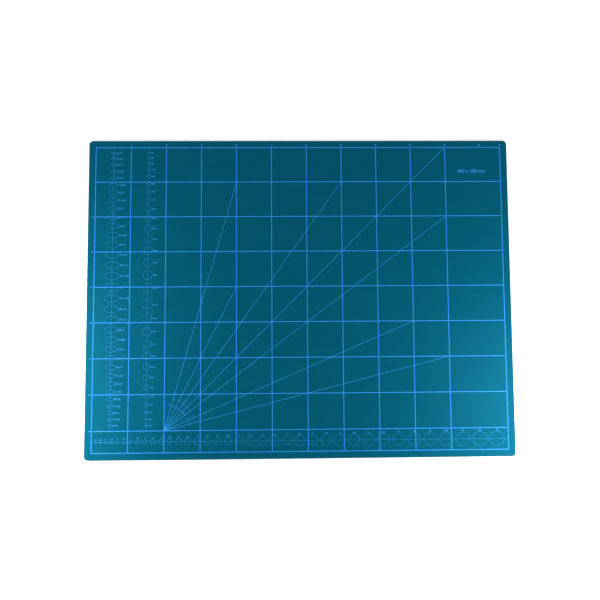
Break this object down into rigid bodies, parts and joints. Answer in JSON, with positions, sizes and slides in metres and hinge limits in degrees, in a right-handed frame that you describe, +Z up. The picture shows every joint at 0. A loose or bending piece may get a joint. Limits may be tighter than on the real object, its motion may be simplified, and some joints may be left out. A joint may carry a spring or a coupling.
{
  "type": "self healing mat",
  "caption": "Flat rectangular self healing cutting mat with rounded corners, a printed border and grid, angle rays, and gauges of ellipses, circles, hexagons and hole sizes.",
  "frame": {"origin": "middle of the underside, on the surface that the mat lies on", "axes": "+X along the length, to the right of someone reading the print; +Y towards the top edge of the print; +Z up, out of the printed face"},
  "size_m": [0.6, 0.45, 0.003],
  "materials": {
    "healing_ply": "teal soft PVC with a fine matt emboss",
    "cushion_ply": "teal soft PVC, a little paler, cut edge",
    "core_ply": "pale hard PVC, cut edge",
    "grid_ink": "light blue screen-print ink, satin",
    "gauge_ink": "light blue screen-print ink in thin lines, satin"
  },
  "bodies": {
    "root": {"bottom_healing_layer": "healing_ply", "lower_cushion_layer": "cushion_ply", "rigid_core": "core_ply", "upper_cushion_layer": "cushion_ply", "top_healing_layer": "healing_ply", "grid_print": "grid_ink", "angle_ray_print": "gauge_ink", "ellipse_gauge_print": "gauge_ink", "circle_gauge_print": "gauge_ink", "hexagon_gauge_print": "gauge_ink", "hole_gauge_print": "gauge_ink"}
  },
  "joints": []
}
